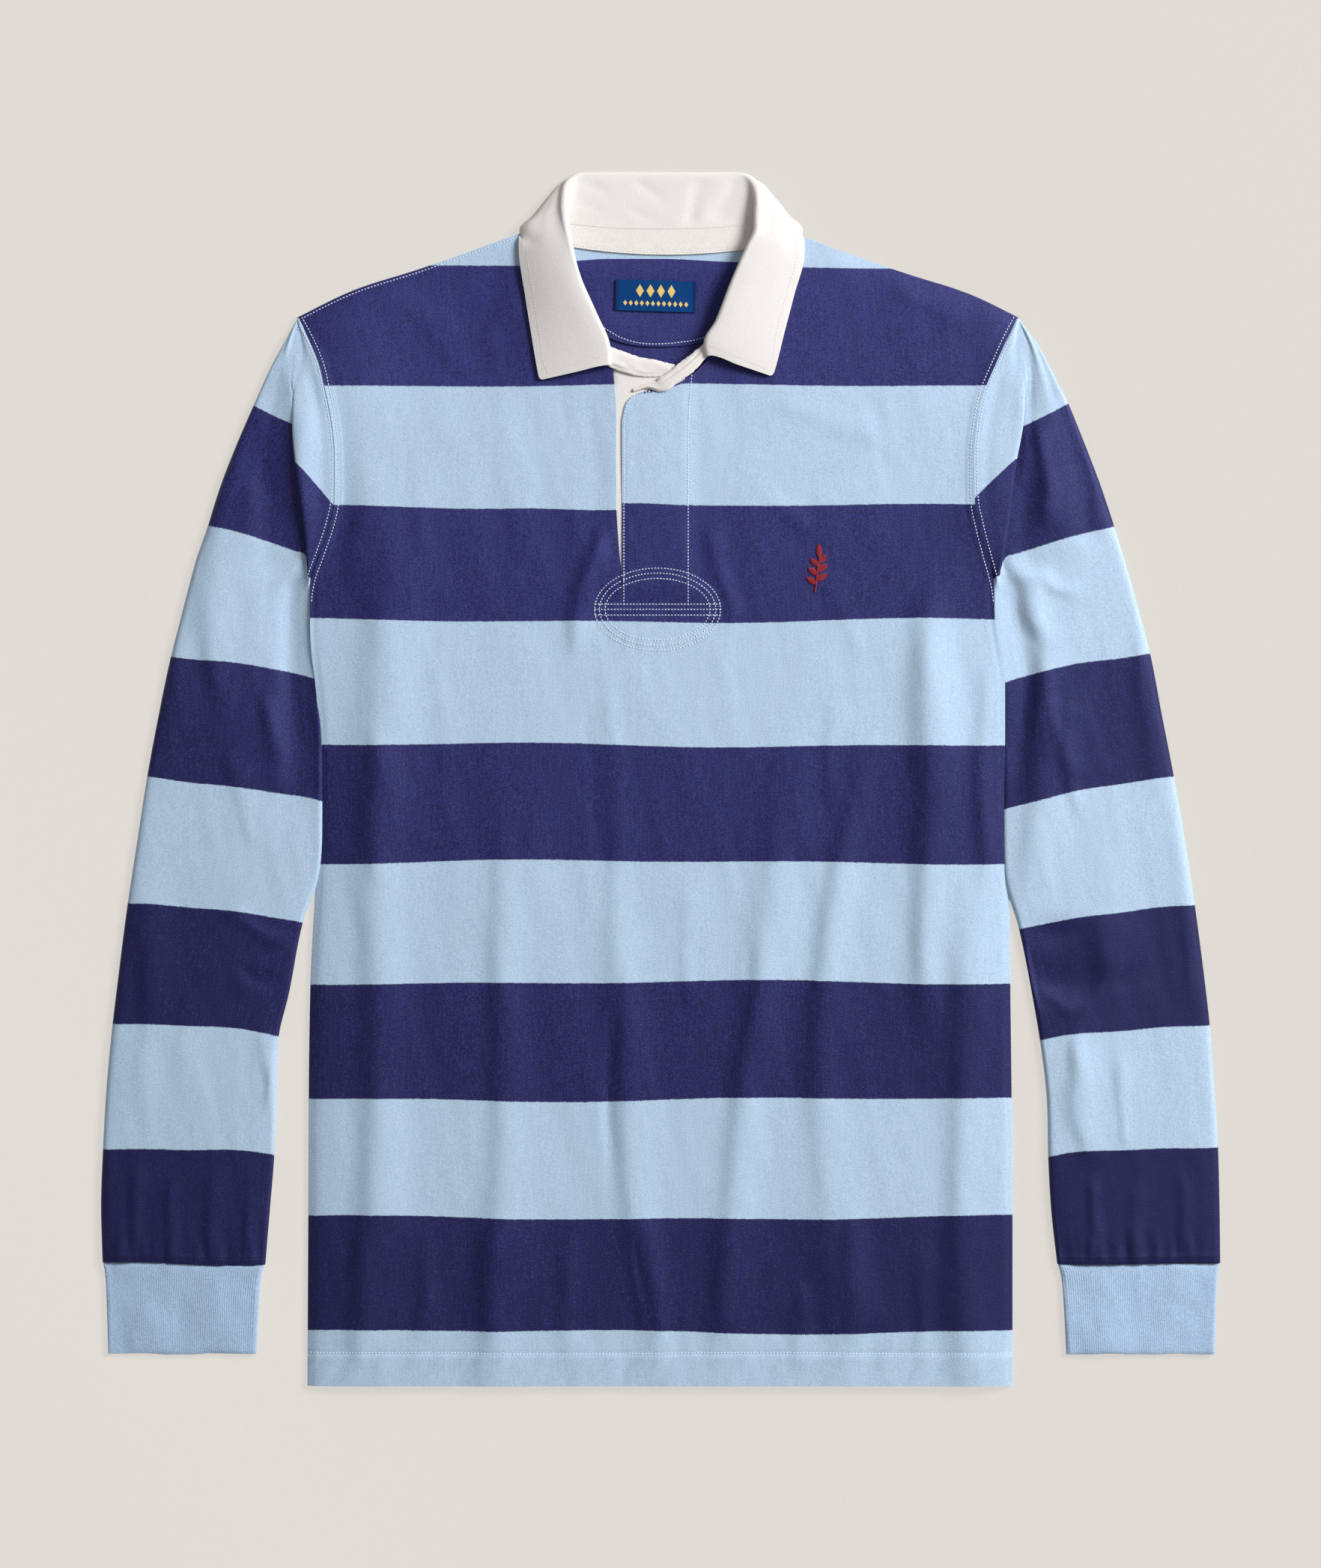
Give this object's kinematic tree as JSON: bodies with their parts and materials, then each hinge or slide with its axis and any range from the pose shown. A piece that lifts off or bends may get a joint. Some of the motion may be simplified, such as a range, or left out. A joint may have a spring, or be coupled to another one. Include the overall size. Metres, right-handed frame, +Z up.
{
  "type": "rugby shirt",
  "caption": "Long-sleeved striped jersey rugby shirt with a twill collar, neck placket and ribbed cuffs, laid flat on its back.",
  "frame": {"origin": "on the floor, under the middle of the laid-out shirt's outline", "axes": "+Z up out of the shirt's front, +Y from the hem to the neck, +X to the wearer's left"},
  "size_m": [0.7478, 0.811, 0.0175],
  "materials": {
    "striped_jersey": "matte cotton jersey in wide light blue and navy stripes",
    "navy_jersey": "matte cotton jersey",
    "rib_knit": "matte 1x1 rib knit",
    "ecru_twill": "matte cotton twill",
    "label_ribbon": "satin woven ribbon",
    "button_rubber": "satin"
  },
  "bodies": {
    "root": {"front": "striped_jersey", "back": "striped_jersey", "sleeve_left": "striped_jersey", "sleeve_right": "striped_jersey", "cuff_left": "rib_knit", "cuff_right": "rib_knit", "collar": "ecru_twill", "neck_band_left": "ecru_twill", "neck_band_right": "ecru_twill", "placket_underlay": "ecru_twill", "neck_tape": "ecru_twill", "neck_patch": "navy_jersey", "label": "label_ribbon", "button": "button_rubber"}
  },
  "joints": []
}
